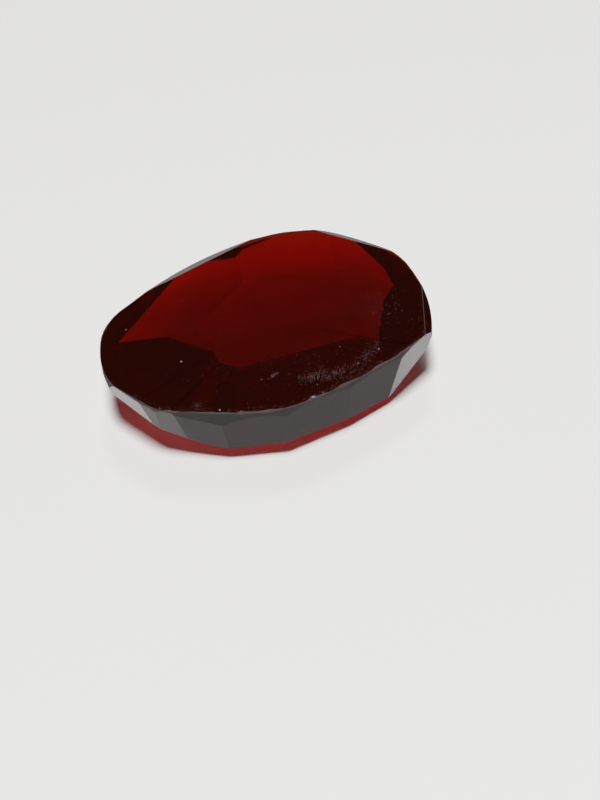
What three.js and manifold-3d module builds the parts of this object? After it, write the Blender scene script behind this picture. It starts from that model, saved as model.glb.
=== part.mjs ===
// Oval garnet, cut and polished, lying table up on the narrow flat at the bottom of its keel.
// Millimetres, +Z up. The long axis runs along X, and the origin is at the bottom, in the
// middle of the outline.
import * as THREE from 'three';
import * as BufferGeometryUtils from 'three/addons/utils/BufferGeometryUtils.js';
import Module from 'manifold-3d';

const wasm = await Module();
wasm.setup();

// Driving dimensions
const stoneHeight = 2.8;      // from the keel flat up to the table
const cutterSize = 60;        // side of the block that takes the rough away beyond a facet
const stepsPerPoint = 10;     // short chords of the round outline between two of its points

// The girdle seen from above, as cut by hand: an oval with four blunt corners
const outlinePoints = [
  [5.95, -0.35],
  [5.9, 1.15],
  [5.3, 2.4],
  [4.25, 3.75],
  [3.0, 4.4],
  [1.75, 4.65],
  [0.1, 4.7],
  [-1.6, 4.35],
  [-3.7, 3.4],
  [-4.8, 2.8],
  [-5.55, 1.85],
  [-6.0, 0.15],
  [-5.7, -1.55],
  [-4.75, -2.85],
  [-4.4, -3.0],
  [-2.45, -4.1],
  [-0.75, -4.6],
  [1.5, -4.4],
  [3.05, -4.05],
  [4.0, -3.75],
  [5.0, -3.35],
  [5.7, -1.9],
];

// A facet faces azimuth (degrees from +X), its slope is its angle to the table, and its reach
// is how far from the axis it runs out at the level named for its tier.

// Small lens-shaped bevels on the table's edge, reach at the table
const tableBevels = [
  { azimuth: 38, slope: 20, reach: 5.45 },
  { azimuth: 102.5, slope: 20, reach: 4.2 },
  { azimuth: 337, slope: 35, reach: 5.8 },
];

// Steep facets under the girdle on the side with the deep belly, reach at the table
const bellyFacets = [
  { azimuth: 203, slope: 73.5, reach: 5.75 },
  { azimuth: 208, slope: 74, reach: 5.7 },
  { azimuth: 230, slope: 72, reach: 5.24 },
  { azimuth: 234.5, slope: 72.5, reach: 5.1 },
  { azimuth: 250, slope: 73, reach: 4.83 },
  { azimuth: 274.5, slope: 74, reach: 4.65 },
  { azimuth: 284, slope: 75, reach: 4.76 },
  { azimuth: 295.5, slope: 74, reach: 5.19 },
];

// Steep facets round the rest of the girdle, which leave a wall of even height above them
const rimSlope = 72;
const rimWall = 0.35;
const rimAzimuths = [175, 160, 145, 96, 80, 29, 12, -5, -22];

// Middle facets of the underside, reach at the keel flat
const middleFacets = [
  { azimuth: 20, slope: 22.5, reach: 3.7 },
  { azimuth: 47, slope: 40, reach: 3.35 },
  { azimuth: 47, slope: 52, reach: 3.75 },
  { azimuth: 68.5, slope: 40, reach: 2.55 },
  { azimuth: 68.5, slope: 50, reach: 3.0 },
  { azimuth: 113, slope: 47, reach: 2.3 },
  { azimuth: 117.5, slope: 60, reach: 3.12 },
  { azimuth: 161, slope: 21, reach: 1.85 },
  { azimuth: 179, slope: 26, reach: 1.8 },
  { azimuth: 335, slope: 42, reach: 3.95 },
];

// Shallow facets that meet along the keel, reach at the keel flat
const keelFacets = [
  { azimuth: 85, slope: 14, reach: 0.75 },
  { azimuth: 216, slope: 13.5, reach: 1.5 },
  { azimuth: 264, slope: 12, reach: 0.8 },
  { azimuth: 350, slope: 14, reach: 3.4 },
];

const radians = THREE.MathUtils.degToRad;

// A closed solid from a three.js geometry, with the shared corners merged
function solidFrom(geometry) {
  const bare = geometry.clone();
  bare.deleteAttribute('normal');
  bare.deleteAttribute('uv');
  const merged = BufferGeometryUtils.mergeVertices(bare);
  return new wasm.Manifold(new wasm.Mesh({
    numProp: 3,
    vertProperties: new Float32Array(merged.attributes.position.array),
    triVerts: new Uint32Array(merged.index.array),
  }));
}

// And back to a flat-shaded geometry
function geometryFrom(solid) {
  const mesh = solid.getMesh();
  const geometry = new THREE.BufferGeometry();
  geometry.setAttribute('position', new THREE.BufferAttribute(new Float32Array(mesh.vertProperties), 3));
  geometry.setIndex(new THREE.BufferAttribute(new Uint32Array(mesh.triVerts), 1));
  const flat = geometry.toNonIndexed();
  flat.computeVertexNormals();
  return flat;
}

// The round outline as short chords, with the middle of its box on the axis
function outline() {
  const corners = outlinePoints.map(([x, y]) => new THREE.Vector3(x, y, 0));
  const curve = new THREE.CatmullRomCurve3(corners, true, 'catmullrom', 0.5);
  const count = outlinePoints.length * stepsPerPoint;
  const points = [];
  for (let step = 0; step < count; step += 1) {
    const point = curve.getPoint(step / count);
    points.push(new THREE.Vector2(point.x, point.y));
  }
  const middle = new THREE.Box2().setFromPoints(points).getCenter(new THREE.Vector2());
  return points.map((point) => point.sub(middle));
}

// The widest reach of the outline towards one azimuth
function reachOfOutline(points, azimuth) {
  const towards = new THREE.Vector2(Math.cos(radians(azimuth)), Math.sin(radians(azimuth)));
  return Math.max(...points.map((point) => point.dot(towards)));
}

// Takes away all that lies outside one facet. The facet passes reach from the axis at height
// level, and its outward normal leans down by its slope, or up for a bevel of the table.
function cutFacet(solid, { azimuth, slope, reach }, level, facesUp = false) {
  const outward = new THREE.Vector3(
    Math.cos(radians(azimuth)) * Math.sin(radians(slope)),
    Math.sin(radians(azimuth)) * Math.sin(radians(slope)),
    (facesUp ? 1 : -1) * Math.cos(radians(slope)),
  );
  const foot = new THREE.Vector3(
    Math.cos(radians(azimuth)) * reach,
    Math.sin(radians(azimuth)) * reach,
    level,
  );
  const cutter = new THREE.BoxGeometry(cutterSize, cutterSize, cutterSize);
  cutter.translate(0, 0, cutterSize / 2);
  cutter.applyQuaternion(new THREE.Quaternion().setFromUnitVectors(new THREE.Vector3(0, 0, 1), outward));
  cutter.translate(foot.x, foot.y, foot.z);
  return solid.subtract(solidFrom(cutter));
}

function garnetGeometry() {
  const girdle = outline();
  const rough = new THREE.ExtrudeGeometry(new THREE.Shape(girdle), { depth: stoneHeight, bevelEnabled: false });
  let stone = solidFrom(rough);
  for (const facet of tableBevels) {
    stone = cutFacet(stone, facet, stoneHeight, true);
  }
  for (const facet of bellyFacets) {
    stone = cutFacet(stone, facet, stoneHeight);
  }
  for (const azimuth of rimAzimuths) {
    const reach = reachOfOutline(girdle, azimuth) + rimWall / Math.tan(radians(rimSlope));
    stone = cutFacet(stone, { azimuth, slope: rimSlope, reach }, stoneHeight);
  }
  for (const facet of [...middleFacets, ...keelFacets]) {
    stone = cutFacet(stone, facet, 0);
  }
  return geometryFrom(stone);
}

const garnetRed = new THREE.MeshStandardMaterial({ color: 0x4a0d0c, roughness: 0.06, metalness: 0 });
const garnet = new THREE.Mesh(garnetGeometry(), garnetRed);
garnet.name = 'garnet';

const group = new THREE.Group();
group.add(garnet);

export default group;
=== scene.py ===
import math
import random

import bmesh
import bpy
from mathutils import Matrix, Vector, noise


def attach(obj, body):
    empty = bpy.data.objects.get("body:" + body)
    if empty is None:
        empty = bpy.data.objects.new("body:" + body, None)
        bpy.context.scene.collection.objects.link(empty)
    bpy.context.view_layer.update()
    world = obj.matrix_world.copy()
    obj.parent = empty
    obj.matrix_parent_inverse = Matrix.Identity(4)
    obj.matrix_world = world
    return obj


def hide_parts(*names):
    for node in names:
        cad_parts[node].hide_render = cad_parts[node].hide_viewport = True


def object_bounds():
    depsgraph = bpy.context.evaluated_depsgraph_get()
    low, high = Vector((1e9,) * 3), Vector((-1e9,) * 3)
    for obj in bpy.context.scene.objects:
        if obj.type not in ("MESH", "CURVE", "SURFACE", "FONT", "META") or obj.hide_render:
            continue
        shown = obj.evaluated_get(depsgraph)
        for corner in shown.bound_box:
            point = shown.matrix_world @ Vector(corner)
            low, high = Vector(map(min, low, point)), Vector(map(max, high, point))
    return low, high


# Dressed oval garnet: the stone with worn edges and a dull girdle, and the dust that lies on it.
# Metres, in the frame of the solid: the long axis along X, the flat of the keel on z = 0.

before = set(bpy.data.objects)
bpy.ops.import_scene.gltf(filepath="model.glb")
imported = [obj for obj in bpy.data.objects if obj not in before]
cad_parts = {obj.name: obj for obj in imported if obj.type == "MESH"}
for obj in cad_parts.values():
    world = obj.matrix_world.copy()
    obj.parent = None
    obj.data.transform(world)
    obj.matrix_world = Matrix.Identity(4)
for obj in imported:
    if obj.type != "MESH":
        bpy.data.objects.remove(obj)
cadLow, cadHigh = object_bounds()
tableLevel = cadHigh.z
millimetre = 0.001


# Shared helpers

def newMaterial(name):
    material = bpy.data.materials.new(name)
    material.use_nodes = True
    tree = material.node_tree
    return material, tree, tree.nodes["Principled BSDF"]


def addNode(tree, kind, inputs=None, **values):
    node = tree.nodes.new(kind)
    for name, value in values.items():
        setattr(node, name, value)
    for name, value in (inputs or {}).items():
        if isinstance(value, bpy.types.NodeSocket):
            tree.links.new(value, node.inputs[name])
        else:
            node.inputs[name].default_value = value
    return node


def mixColour(tree, factor, first, second):
    # the colour sockets of the Mix node are its inputs 6 and 7 and its output 2
    return addNode(tree, "ShaderNodeMix", {0: factor, 6: first, 7: second}, data_type="RGBA").outputs[2]


def linkObject(name, mesh):
    thing = bpy.data.objects.new(name, mesh)
    bpy.context.scene.collection.objects.link(thing)
    return thing


def unitNoise(x, y, z=0.0):
    return noise.noise(Vector((x, y, z)))


# The stone

stoneSettings = {
    "weldDistance": 1e-7,               # m, corners closer than this are one
    "flatAngle": math.radians(0.25),    # faces closer than this are one facet
    "levelNormal": 0.9999,              # a face that points up more than this is level
    "bevelLean": 0.05,                  # a face beside the table that leans up more is a bevel
    "ringStep": 0.05,                   # mm between points along the table's edge
    "frontWear": 0.048,                 # mm, worn strip over the deep belly
    "restWear": 0.020,                  # mm, worn strip round the rest of the girdle
    "bevelWear": 0.008,                 # mm, on the bevels
    "leastWear": 0.006,                 # mm, anywhere
    "stripDrop": 0.8,                   # how far the strip runs down the wall, in widths
    "wallShare": 0.3,                   # and the most of the wall that it takes
    "stripRound": 0.35,                 # how far its middle is drawn back to the sharp edge
    "frontRange": (192.0, 330.0, 12.0),  # azimuths between which the edge is worn most, and the fade
    "waves": ((1.3, 0.9), (6.5, 0.7)),  # how uneven the strip is: waves per mm and share
    # chips out of the edge: x, y, depth and half width in mm
    "nicks": (
        (0.02, -4.65, 0.10, 0.13),
        (1.15, -4.50, 0.05, 0.10),
        (-1.57, -4.55, 0.06, 0.12),
        (-2.47, -4.13, 0.06, 0.09),
        (-3.06, -3.59, 0.07, 0.10),
        (-4.61, -2.94, 0.06, 0.08),
        (2.60, -4.20, 0.05, 0.16),
        (4.30, -3.65, 0.06, 0.14),
    ),
    "wallLean": 0.03,                   # faces steeper than this are the girdle wall
    "ior": 1.79,
    "polished": 0.06,                   # roughness of the facets
    "dull": 1.0,                        # of the girdle wall
    "wornDull": 0.85,                   # of the worn strip
    # facets at the front of the belly that are rubbed dull and given a darker tint as painted shade:
    # azimuth, and how dull and how shaded from 0 to 1
    "rubbedAndShaded": (
        (208.0, 0.50),
        (230.0, 0.52),
        (234.5, 0.80),
        (250.0, 0.86),
        (274.5, 0.88),
        (284.0, 0.86),
    ),
    "rubbedAndShadedReach": 2.0,                 # degrees that a facet may lie off its azimuth
    "rubbedAndShadedFacing": (-0.40, -0.20),     # how far those facets face down
    "clearShare": 0.990,                # the small rest is plain colour, which lifts the dark facets
    "bodyTint": (0.92, 0.07, 0.015, 1.0),
    # darker tint of the dull girdle wall; on the rubbed belly facets its share is painted shade for the
    # shadowed floor that they mirror
    "wallAndShadeTint": (0.20, 0.07, 0.08, 1.0),
    "absorbDensity": 8000.0,            # per metre, times one minus the colour
    "absorbColour": (0.947, 0.61, 0.30, 1.0),
    "grainScale": 5200.0,               # fine grain on the dull parts, per metre
    "grainDetail": 4.0,
    "grainStrength": 0.6,
    "grainHeight": 0.00003,             # m
}


def smoothStep(value, low, high):
    share = min(max((value - low) / (high - low), 0.0), 1.0)
    return share * share * (3 - 2 * share)


def wearAt(place, onBevel):
    # width of the worn strip at a place on the table's edge
    own = stoneSettings
    if onBevel:
        return own["bevelWear"]
    x, y = place.x / millimetre, place.y / millimetre
    azimuth = math.degrees(math.atan2(y, x)) % 360
    start, end, fade = own["frontRange"]
    rise = smoothStep(azimuth, start - fade, start + fade)
    fall = smoothStep(azimuth, end - fade, end + fade)
    front = rise * (1 - fall)
    width = own["restWear"] + (own["frontWear"] - own["restWear"]) * front
    width *= 1 + sum(share * unitNoise(x * often, y * often, often) for often, share in own["waves"])
    for nickX, nickY, depth, reach in own["nicks"]:
        away = math.hypot(x - nickX, y - nickY) / reach
        width += depth * math.exp(-away * away)
    return max(width, own["leastWear"])


def splitRing(build, table):
    # long stretches of the table's edge get points of their own
    for edge in list(table.edges):
        pieces = int(edge.calc_length() / (stoneSettings["ringStep"] * millimetre))
        first = edge.verts[0]
        for left in range(pieces, 1, -1):
            edge, first = bmesh.utils.edge_split(edge, first, 1.0 / left)


def ringDirections(table):
    # for each point of the ring: which way its outer face runs down, how far it can go,
    # and whether it is on a bevel
    ring = set(table.edges)
    found = []
    for loop in table.loops:
        others = [edge for edge in loop.vert.link_edges if edge not in ring]
        outer = [face for face in loop.edge.link_faces if face != table][0]
        if others:
            far = others[0].other_vert(loop.vert).co - loop.vert.co
            down, room = far.normalized(), far.length
        else:
            along = (loop.link_loop_next.vert.co - loop.vert.co).normalized()
            down, room = outer.normal.cross(along), None
            if down.z > 0:
                down = -down
        found.append([loop.vert, down, room, outer.normal.z > stoneSettings["bevelLean"]])
    for index, item in enumerate(found):
        if item[2] is None:
            item[2] = found[index - 1][2]
    return found


def wearTableEdge(build, worn):
    # turns the sharp edge of the table into a narrow rounded strip of uneven width
    own = stoneSettings
    level = [face for face in build.faces if face.normal.z > own["levelNormal"]]
    table = max(level, key=lambda face: face.calc_area())
    splitRing(build, table)
    found = ringDirections(table)
    places = [item[0].co.copy() for item in found]
    count = len(found)
    middles, inners = [], []
    for index, (vert, down, room, onBevel) in enumerate(found):
        place = places[index]
        tangent = (places[(index + 1) % count] - places[index - 1]).normalized()
        inward = Vector((-tangent.y, tangent.x, 0))
        width = wearAt(place, onBevel) * millimetre
        low = place + down * min(width * own["stripDrop"], room * own["wallShare"])
        high = place + inward * width
        middle = (low + high) / 2
        middles.append(build.verts.new(middle + (place - middle) * own["stripRound"]))
        inners.append(build.verts.new(high))
        vert.co = low
    outers = [item[0] for item in found]
    bmesh.ops.delete(build, geom=[table], context="FACES_ONLY")
    for index in range(count):
        after = (index + 1) % count
        for lower, upper in ((outers, middles), (middles, inners)):
            strip = build.faces.new((lower[index], lower[after], upper[after], upper[index]))
            strip[worn] = 1.0
            strip.smooth = True
    # the table is a fan from its middle, and a few of its triangles are turned over
    hub = build.verts.new((0.0, 0.0, tableLevel))
    for index in range(count):
        build.faces.new((hub, inners[index], inners[(index + 1) % count]))
    print("stone: points along the worn edge", count)


def dullnessAndShadeOf(normal):
    # 1 on the ground wall, less on the rubbed facets under it, 0 where the stone is polished; on those
    # facets the share also sets painted shade, a darker tint
    own = stoneSettings
    if abs(normal.z) < own["wallLean"]:
        return 1.0
    azimuth = math.degrees(math.atan2(normal.y, normal.x)) % 360
    steep, shallow = own["rubbedAndShadedFacing"]
    if steep < normal.z < shallow:
        for facing, dullnessAndShade in own["rubbedAndShaded"]:
            if abs(azimuth - facing) < own["rubbedAndShadedReach"]:
                return dullnessAndShade
    return 0.0


def makeStoneMesh():
    own = stoneSettings
    build = bmesh.new()
    build.from_mesh(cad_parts["garnet"].data)
    bmesh.ops.remove_doubles(build, verts=build.verts, dist=own["weldDistance"])
    bmesh.ops.dissolve_limit(build, angle_limit=own["flatAngle"], verts=build.verts, edges=build.edges)
    build.normal_update()
    dullAndShadeShare = build.faces.layers.float.new("dullAndShadeShare")
    worn = build.faces.layers.float.new("worn")
    for face in build.faces:
        face[dullAndShadeShare] = dullnessAndShadeOf(face.normal)
        face.smooth = False
    wearTableEdge(build, worn)
    build.normal_update()
    mesh = bpy.data.meshes.new("garnet_stone")
    build.to_mesh(mesh)
    build.free()
    return mesh


def garnetMaterial():
    own = stoneSettings
    material, tree, shader = newMaterial("polished garnet")
    shader.distribution = "GGX"
    shader.inputs["Transmission Weight"].default_value = own["clearShare"]
    shader.inputs["IOR"].default_value = own["ior"]
    dullAndShadeShare = addNode(tree, "ShaderNodeAttribute", attribute_name="dullAndShadeShare").outputs["Fac"]
    worn = addNode(tree, "ShaderNodeAttribute", attribute_name="worn").outputs["Fac"]
    wallRough = addNode(tree, "ShaderNodeMapRange", {"Value": dullAndShadeShare, "To Min": own["polished"],
                                                     "To Max": own["dull"]}).outputs["Result"]
    rough = addNode(tree, "ShaderNodeMix", {"Factor": worn, "A": wallRough, "B": own["wornDull"]},
                    data_type="FLOAT").outputs["Result"]
    tree.links.new(rough, shader.inputs["Roughness"])
    # darker on the girdle wall; on the rubbed belly facets the darker tint is painted shade for the shadowed
    # floor that they mirror, while their roughness is dull wear
    tint = mixColour(tree, dullAndShadeShare, own["bodyTint"], own["wallAndShadeTint"])
    tree.links.new(tint, shader.inputs["Base Color"])
    place = addNode(tree, "ShaderNodeTexCoord").outputs["Object"]
    grain = addNode(tree, "ShaderNodeTexNoise", {"Vector": place, "Scale": own["grainScale"],
                                                 "Detail": own["grainDetail"]})
    roughParts = addNode(tree, "ShaderNodeMath", {0: dullAndShadeShare, 1: worn}, operation="MAXIMUM").outputs[0]
    height = addNode(tree, "ShaderNodeMath", {0: grain.outputs["Fac"], 1: roughParts}, operation="MULTIPLY")
    bump = addNode(tree, "ShaderNodeBump", {"Strength": own["grainStrength"], "Distance": own["grainHeight"],
                                            "Height": height.outputs[0]})
    tree.links.new(bump.outputs["Normal"], shader.inputs["Normal"])
    absorb = addNode(tree, "ShaderNodeVolumeAbsorption", {"Color": own["absorbColour"],
                                                          "Density": own["absorbDensity"]})
    tree.links.new(absorb.outputs["Volume"], tree.nodes["Material Output"].inputs["Volume"])
    return material


stone = linkObject("garnet_stone", makeStoneMesh())
stone.data.materials.append(garnetMaterial())
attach(stone, "root")
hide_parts("garnet")
print("stone made")


# Dust that lies on the table and along its edge

dustSettings = {
    "seed": 20,
    "colour": (0.27, 0.24, 0.26, 1.0),
    "shadeColour": (0.13, 0.11, 0.12, 1.0),
    "shadeScale": 2400.0,         # how finely the two colours change, per metre
    "shadeDetail": 2.0,
    "roughness": 0.9,
    "specular": 0.3,
    # a crumb against its half size: length, width, height, and how uneven it is
    "crumbLong": (0.8, 1.5),
    "crumbWide": (0.6, 1.0),
    "crumbTall": (0.45, 0.75),
    "crumbUneven": (0.72, 1.2),
    "crumbStand": 0.7,            # how high its middle stands, against its half height
    "sideStep": 4,                # degrees between the lines that bound the table
    "leastFacing": 0.2,           # lines that face a direction less than this don't bound it there
    # single specks: x, y and half size in mm
    "specks": (
        (0.02, -4.58, 0.056), (-3.06, -3.66, 0.040), (-2.47, -4.13, 0.038), (-1.57, -4.50, 0.045),
        (-4.87, -2.60, 0.030), (-4.61, -2.88, 0.030), (-3.36, -0.69, 0.048), (-4.53, 1.90, 0.030),
        (3.06, -3.36, 0.034), (-2.16, 2.46, 0.022), (0.42, -4.52, 0.030), (2.10, -3.70, 0.026),
        (1.90, -2.60, 0.022), (4.35, -0.60, 0.024), (3.70, -1.50, 0.020), (-1.20, -2.90, 0.020),
    ),
    # patches of fine dust: x, y, half length, half width, turn in degrees, grains
    "patches": (
        (1.05, -3.75, 0.95, 0.42, -22.0, 360),
        (0.30, -3.55, 0.45, 0.25, -15.0, 110),
        (-0.78, -2.90, 0.28, 0.10, 20.0, 60),
        (-3.66, -3.04, 0.24, 0.16, 55.0, 60),
        (2.60, -3.45, 0.90, 0.30, 28.0, 200),
        (3.90, -1.20, 1.20, 1.60, 40.0, 200),
        (0.00, -1.50, 4.50, 3.20, 0.0, 200),
    ),
    "speckMargin": 0.01,          # mm between a speck and the table's bounds
    "grainMargin": 0.03,          # mm, for the grains in the patches
    "grain": (0.0042, 0.0095),    # half size of a grain, mm
    "patchSpread": 0.5,           # of the grains, against a patch's half length and half width
    "patchFineness": 2.5,         # the higher, the more of its grains are small
    "alongEdge": 420,             # grains close to the near edge
    "edgeRange": (195, 335),      # azimuths of the near edge
    "edgeBand": 0.22,             # mm
    "edgeCrowding": 1.8,          # the higher, the closer they lie to the edge
    "edgeMargin": 0.015,          # mm
    "edgeFineness": 2,
}


def onTable(x, y, margin):
    return all(cutX * x + cutY * y <= reach - margin for cutX, cutY, reach in tableSides)


def findTableSides():
    # the straight lines that bound the flat table, in mm, as a direction and its reach
    mesh = stone.data
    flat = [poly for poly in mesh.polygons if poly.normal.z > stoneSettings["levelNormal"]]
    corners = [mesh.vertices[index].co / millimetre for poly in flat for index in poly.vertices]
    sides = []
    for azimuth in range(0, 360, dustSettings["sideStep"]):
        cutX, cutY = math.cos(math.radians(azimuth)), math.sin(math.radians(azimuth))
        sides.append((cutX, cutY, max(cutX * corner.x + cutY * corner.y for corner in corners)))
    return sides


def tableReach(azimuth):
    # how far the table reaches from its middle towards an azimuth, in mm
    towardsX, towardsY = math.cos(azimuth), math.sin(azimuth)
    facings = [(cutX * towardsX + cutY * towardsY, reach) for cutX, cutY, reach in tableSides]
    return min(reach / facing for facing, reach in facings if facing > dustSettings["leastFacing"])


def addGrain(build, draw, x, y, size, level):
    # a flat, uneven crumb
    own = dustSettings
    made = bmesh.ops.create_icosphere(build, subdivisions=1, radius=1.0)["verts"]
    turn = draw.uniform(0, math.pi)
    long = draw.uniform(*own["crumbLong"])
    wide = draw.uniform(*own["crumbWide"])
    tall = draw.uniform(*own["crumbTall"])
    for vert in made:
        uneven = draw.uniform(*own["crumbUneven"])
        px, py, pz = vert.co.x * long * uneven, vert.co.y * wide * uneven, vert.co.z * tall * uneven
        vert.co = Vector((x + size * (px * math.cos(turn) - py * math.sin(turn)),
                          y + size * (px * math.sin(turn) + py * math.cos(turn)),
                          level + size * max(pz + tall * own["crumbStand"], 0.0))) * millimetre


def makeDust():
    own = dustSettings
    draw = random.Random(own["seed"])
    level = tableLevel / millimetre
    build = bmesh.new()
    count = 0
    for x, y, size in own["specks"]:
        if onTable(x, y, own["speckMargin"]):
            addGrain(build, draw, x, y, size, level)
            count += 1
    least, most = own["grain"]
    for x, y, halfLong, halfWide, turn, grains in own["patches"]:
        c, s = math.cos(math.radians(turn)), math.sin(math.radians(turn))
        for grain in range(grains):
            along = draw.gauss(0, own["patchSpread"]) * halfLong
            across = draw.gauss(0, own["patchSpread"]) * halfWide
            px, py = x + along * c - across * s, y + along * s + across * c
            size = least + (most - least) * draw.random() ** own["patchFineness"]
            if onTable(px, py, own["grainMargin"]):
                addGrain(build, draw, px, py, size, level)
                count += 1
    for grain in range(own["alongEdge"]):
        azimuth = math.radians(draw.uniform(*own["edgeRange"]))
        reach = tableReach(azimuth)
        reach -= own["edgeBand"] * draw.random() ** own["edgeCrowding"] + own["edgeMargin"]
        size = least + (most - least) * draw.random() ** own["edgeFineness"]
        addGrain(build, draw, reach * math.cos(azimuth), reach * math.sin(azimuth), size, level)
        count += 1
    mesh = bpy.data.meshes.new("dust")
    build.to_mesh(mesh)
    build.free()
    print("dust: grains", count)
    return mesh


def dustMaterial():
    own = dustSettings
    material, tree, shader = newMaterial("pale dust")
    shader.inputs["Roughness"].default_value = own["roughness"]
    shader.inputs["Specular IOR Level"].default_value = own["specular"]
    place = addNode(tree, "ShaderNodeTexCoord").outputs["Object"]
    change = addNode(tree, "ShaderNodeTexNoise", {"Vector": place, "Scale": own["shadeScale"],
                                                  "Detail": own["shadeDetail"]})
    shade = mixColour(tree, change.outputs["Fac"], own["colour"], own["shadeColour"])
    tree.links.new(shade, shader.inputs["Base Color"])
    return material


tableSides = findTableSides()
dust = linkObject("dust", makeDust())
dust.data.materials.append(dustMaterial())
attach(dust, "root")
print("dust made")


# Floor, light and camera

studio = {
    "floorSize": 1.2,
    "floorColour": (0.80, 0.79, 0.78, 1.0),
    "floorRoughness": 0.6,
    "floorSpecular": 0.2,
    "floorDrop": 0.000002,     # m below the stone's foot
    "background": 1.2,         # what the camera itself sees beyond the floor
    "lampDistance": 0.40,
    "lampSize": 0.085,
    # name, azimuth, elevation and power: the key stands high on the camera's side
    "lamps": (
        ("key", 252.0, 71.0, 2.45),
        ("back_key", 60.0, 66.0, 0.26),
    ),
    "ambient": 0.010,
    # soft panels on the dome: azimuth, elevation, radius, soft edge, strength
    "panels": (
        (66.0, 3.0, 8.0, 6.0, 0.8),
        (84.0, 3.0, 8.0, 6.0, 0.8),
    ),
    # scene brightness against shown brightness, so that the pale floor doesn't burn out
    "toneCurve": ((0.0, 0.0), (0.3, 0.3), (0.7, 0.56), (1.1, 0.73), (1.5, 0.84), (3.0, 0.98)),
}

cameraSettings = {
    "aim": Vector((0.0905, -0.109, 2.8)) * millimetre,
    "azimuth": 252.0,          # where the camera stands
    "elevation": 40.0,         # of the line from the aim point to the camera
    "distance": 67.7 * millimetre,
    "roll": 6.06,
    "lens": 85.0,
    "sensor": 36.0,
    "clip": (0.001, 10),       # m
    "aimPixel": (265.5, 322.2),
    "imageSize": (600, 800),
}


def makeFloor():
    half = studio["floorSize"] / 2
    mesh = bpy.data.meshes.new("floor")
    corners = [(-half, -half, 0), (half, -half, 0), (half, half, 0), (-half, half, 0)]
    mesh.from_pydata(corners, [], [(0, 1, 2, 3)])
    floor = linkObject("floor", mesh)
    floor.location.z = -studio["floorDrop"]
    material, tree, shader = newMaterial("pale floor")
    shader.inputs["Base Color"].default_value = studio["floorColour"]
    shader.inputs["Roughness"].default_value = studio["floorRoughness"]
    shader.inputs["Specular IOR Level"].default_value = studio["floorSpecular"]
    mesh.materials.append(material)


def direction(azimuth, elevation):
    a, e = math.radians(azimuth), math.radians(elevation)
    return Vector((math.cos(a) * math.cos(e), math.sin(a) * math.cos(e), math.sin(e)))


def makeLamp(name, azimuth, elevation, distance, size, power):
    data = bpy.data.lights.new(name, "AREA")
    data.shape = "DISK"
    data.size = size
    data.energy = power
    lamp = linkObject(name, data)
    towards = direction(azimuth, elevation)
    lamp.location = towards * distance
    lamp.rotation_mode = "QUATERNION"
    lamp.rotation_quaternion = towards.to_track_quat("Z", "Y")


def makeWorld():
    world = bpy.data.worlds.new("studio")
    bpy.context.scene.world = world
    world.use_nodes = True
    tree = world.node_tree
    tree.nodes["Background"].inputs["Color"].default_value = (1.0, 1.0, 1.0, 1.0)
    place = addNode(tree, "ShaderNodeTexCoord")
    total = addNode(tree, "ShaderNodeValue").outputs[0]
    total.default_value = studio["ambient"]
    for azimuth, elevation, radius, soft, strength in studio["panels"]:
        facing = addNode(tree, "ShaderNodeVectorMath", {
            0: place.outputs["Generated"], 1: direction(azimuth, elevation)}, operation="DOT_PRODUCT")
        panel = addNode(tree, "ShaderNodeMapRange", {
            "Value": facing.outputs["Value"], "From Min": math.cos(math.radians(radius + soft)),
            "From Max": math.cos(math.radians(radius)), "To Min": 0.0, "To Max": strength})
        panel.interpolation_type = "SMOOTHSTEP"
        total = addNode(tree, "ShaderNodeMath", {0: total, 1: panel.outputs["Result"]},
                        operation="ADD").outputs[0]
    path = addNode(tree, "ShaderNodeLightPath")
    seen = addNode(tree, "ShaderNodeMix", {
        "Factor": path.outputs["Is Camera Ray"], "A": total, "B": studio["background"]}, data_type="FLOAT")
    tree.links.new(seen.outputs["Result"], tree.nodes["Background"].inputs["Strength"])


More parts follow.
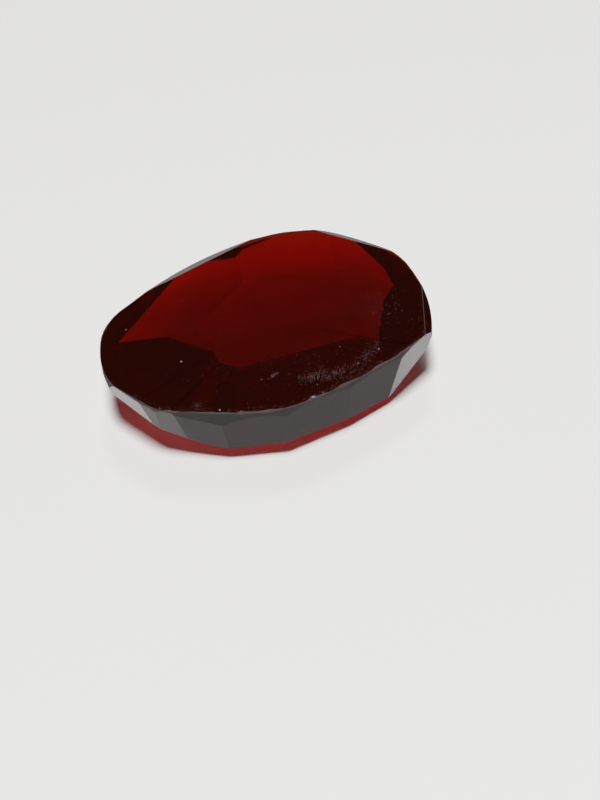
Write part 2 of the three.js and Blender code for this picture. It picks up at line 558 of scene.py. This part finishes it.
def setTone():
    view = bpy.context.scene.view_settings
    view.view_transform = "Standard"
    view.use_curve_mapping = True
    points = studio["toneCurve"]
    white = points[-1][0]
    mapping = view.curve_mapping
    mapping.white_level = (white, white, white)
    curve = mapping.curves[3]    # the one that all three colours share
    curve.points[0].location = points[0]
    curve.points[1].location = (1.0, points[-1][1])
    for value, shown in points[1:-1]:
        curve.points.new(value / white, shown)
    mapping.update()


def makeCamera():
    own = cameraSettings
    width, height = own["imageSize"]
    focal = own["lens"] / own["sensor"] * max(width, height)
    right = own["aimPixel"][0] - width / 2
    down = own["aimPixel"][1] - height / 2
    roll = math.radians(own["roll"])
    # the aim point's direction as a level camera would see it: right, up, forward
    seen = Vector((right * math.cos(roll) - down * math.sin(roll),
                   -(right * math.sin(roll) + down * math.cos(roll)), focal)).normalized()
    elevation = math.radians(own["elevation"])
    pitch = solvePitch(seen, elevation)
    forward = Vector((0, math.cos(pitch), -math.sin(pitch)))
    up = Vector((0, math.sin(pitch), math.cos(pitch)))
    across = Vector((1, 0, 0))
    line = across * seen.x + up * seen.y + forward * seen.z
    heading = math.radians(own["azimuth"] + 180) - math.atan2(line.y, line.x)
    turn = Matrix.Rotation(heading, 3, "Z")
    across, up, forward, line = turn @ across, turn @ up, turn @ forward, turn @ line
    rolledAcross = across * math.cos(roll) - up * math.sin(roll)
    rolledUp = across * math.sin(roll) + up * math.cos(roll)
    data = bpy.data.cameras.new("camera")
    data.lens = own["lens"]
    data.sensor_width = own["sensor"]
    data.clip_start, data.clip_end = own["clip"]
    camera = linkObject("camera", data)
    axes = Matrix((rolledAcross, rolledUp, -forward)).transposed().to_4x4()
    camera.matrix_world = Matrix.Translation(own["aim"] - line * own["distance"]) @ axes
    bpy.context.scene.camera = camera
    print("camera at", [round(v, 4) for v in camera.location])


def solvePitch(seen, elevation):
    # seen.y cos p - seen.z sin p = -sin elevation
    reach = math.hypot(seen.y, seen.z)
    base = math.atan2(seen.z, seen.y)
    return math.acos(-math.sin(elevation) / reach) - base


makeFloor()
for lampName, lampAzimuth, lampElevation, lampPower in studio["lamps"]:
    makeLamp(lampName, lampAzimuth, lampElevation, studio["lampDistance"], studio["lampSize"], lampPower)
makeWorld()
makeCamera()
setTone()
print("studio made")
